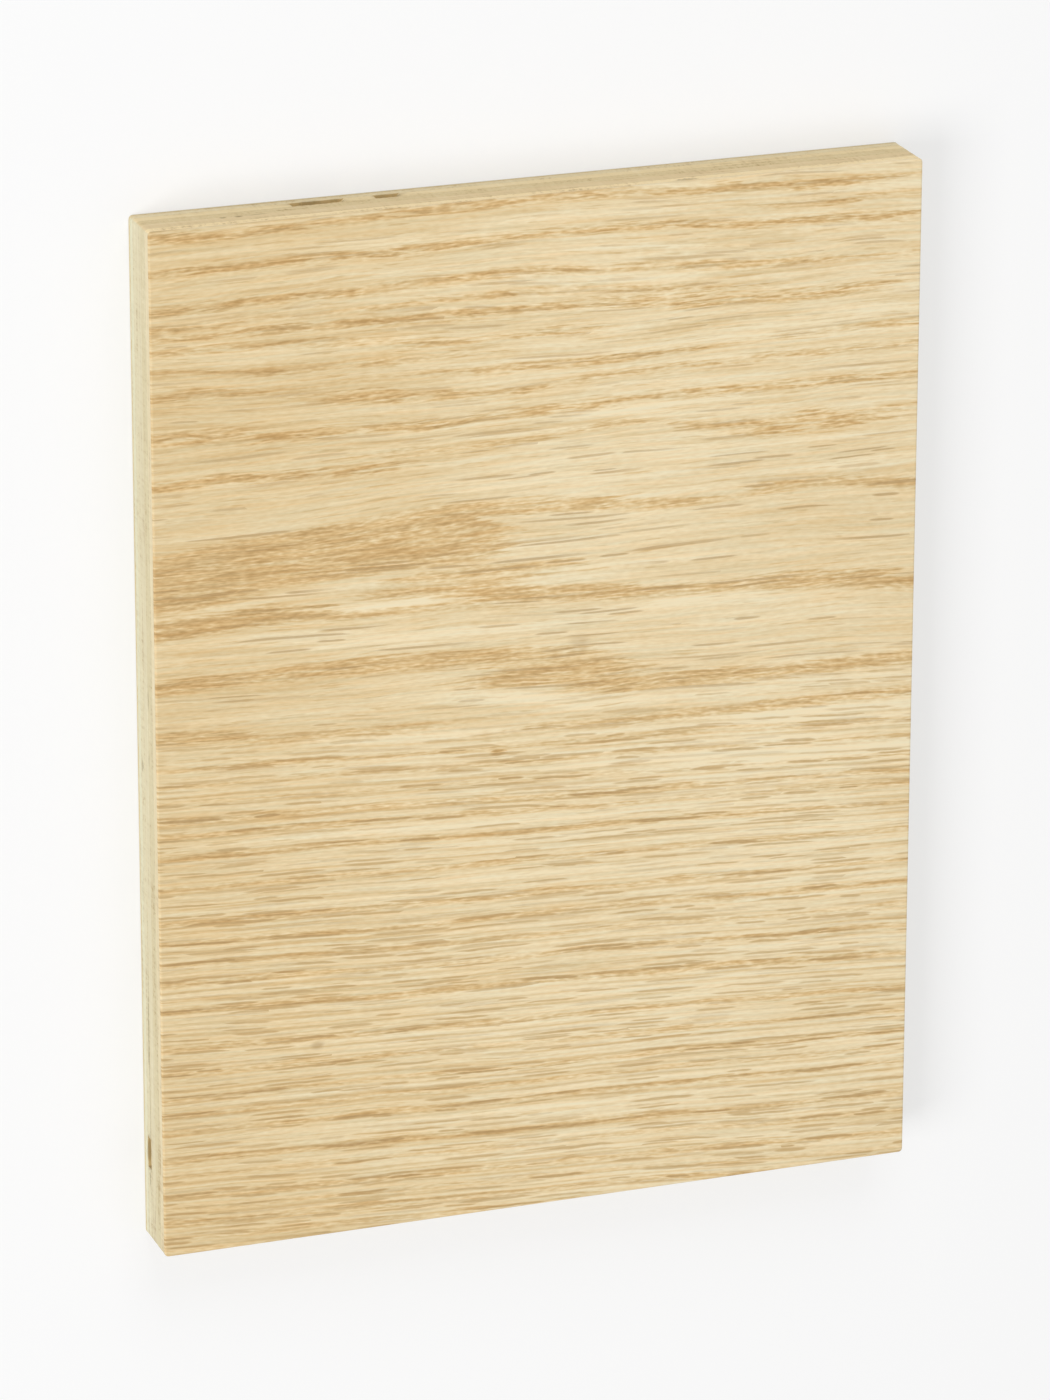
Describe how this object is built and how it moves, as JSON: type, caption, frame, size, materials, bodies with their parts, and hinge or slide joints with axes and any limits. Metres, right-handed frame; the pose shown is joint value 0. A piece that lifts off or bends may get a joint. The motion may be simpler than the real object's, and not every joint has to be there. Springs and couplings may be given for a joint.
{
  "type": "stair riser",
  "caption": "Short length of oak-veneered plywood stair riser, lying face up: flat board with lengthwise oak grain and layered edges, fixed upright between stair treads.",
  "frame": {"origin": "middle of the back face, on the floor that the riser lies on", "axes": "+X along the riser's length and the face grain, +Y up the riser's height, +Z out of the oak face"},
  "size_m": [0.1524, 0.2032, 0.0127],
  "materials": {
    "oak_face": "plain-sliced oak veneer, sanded, matt",
    "crosswise_ply": "pale sawn hardwood ply, grain up the riser",
    "lengthwise_ply": "pale sawn hardwood ply, grain along the riser",
    "back_veneer": "plain pale backing veneer, sanded, matt"
  },
  "bodies": {
    "root": {"oak_face_veneer": "oak_face", "face_crossband": "crosswise_ply", "front_core": "lengthwise_ply", "centre_core": "crosswise_ply", "rear_core": "lengthwise_ply", "back_crossband": "crosswise_ply", "back_veneer": "back_veneer"}
  },
  "joints": []
}
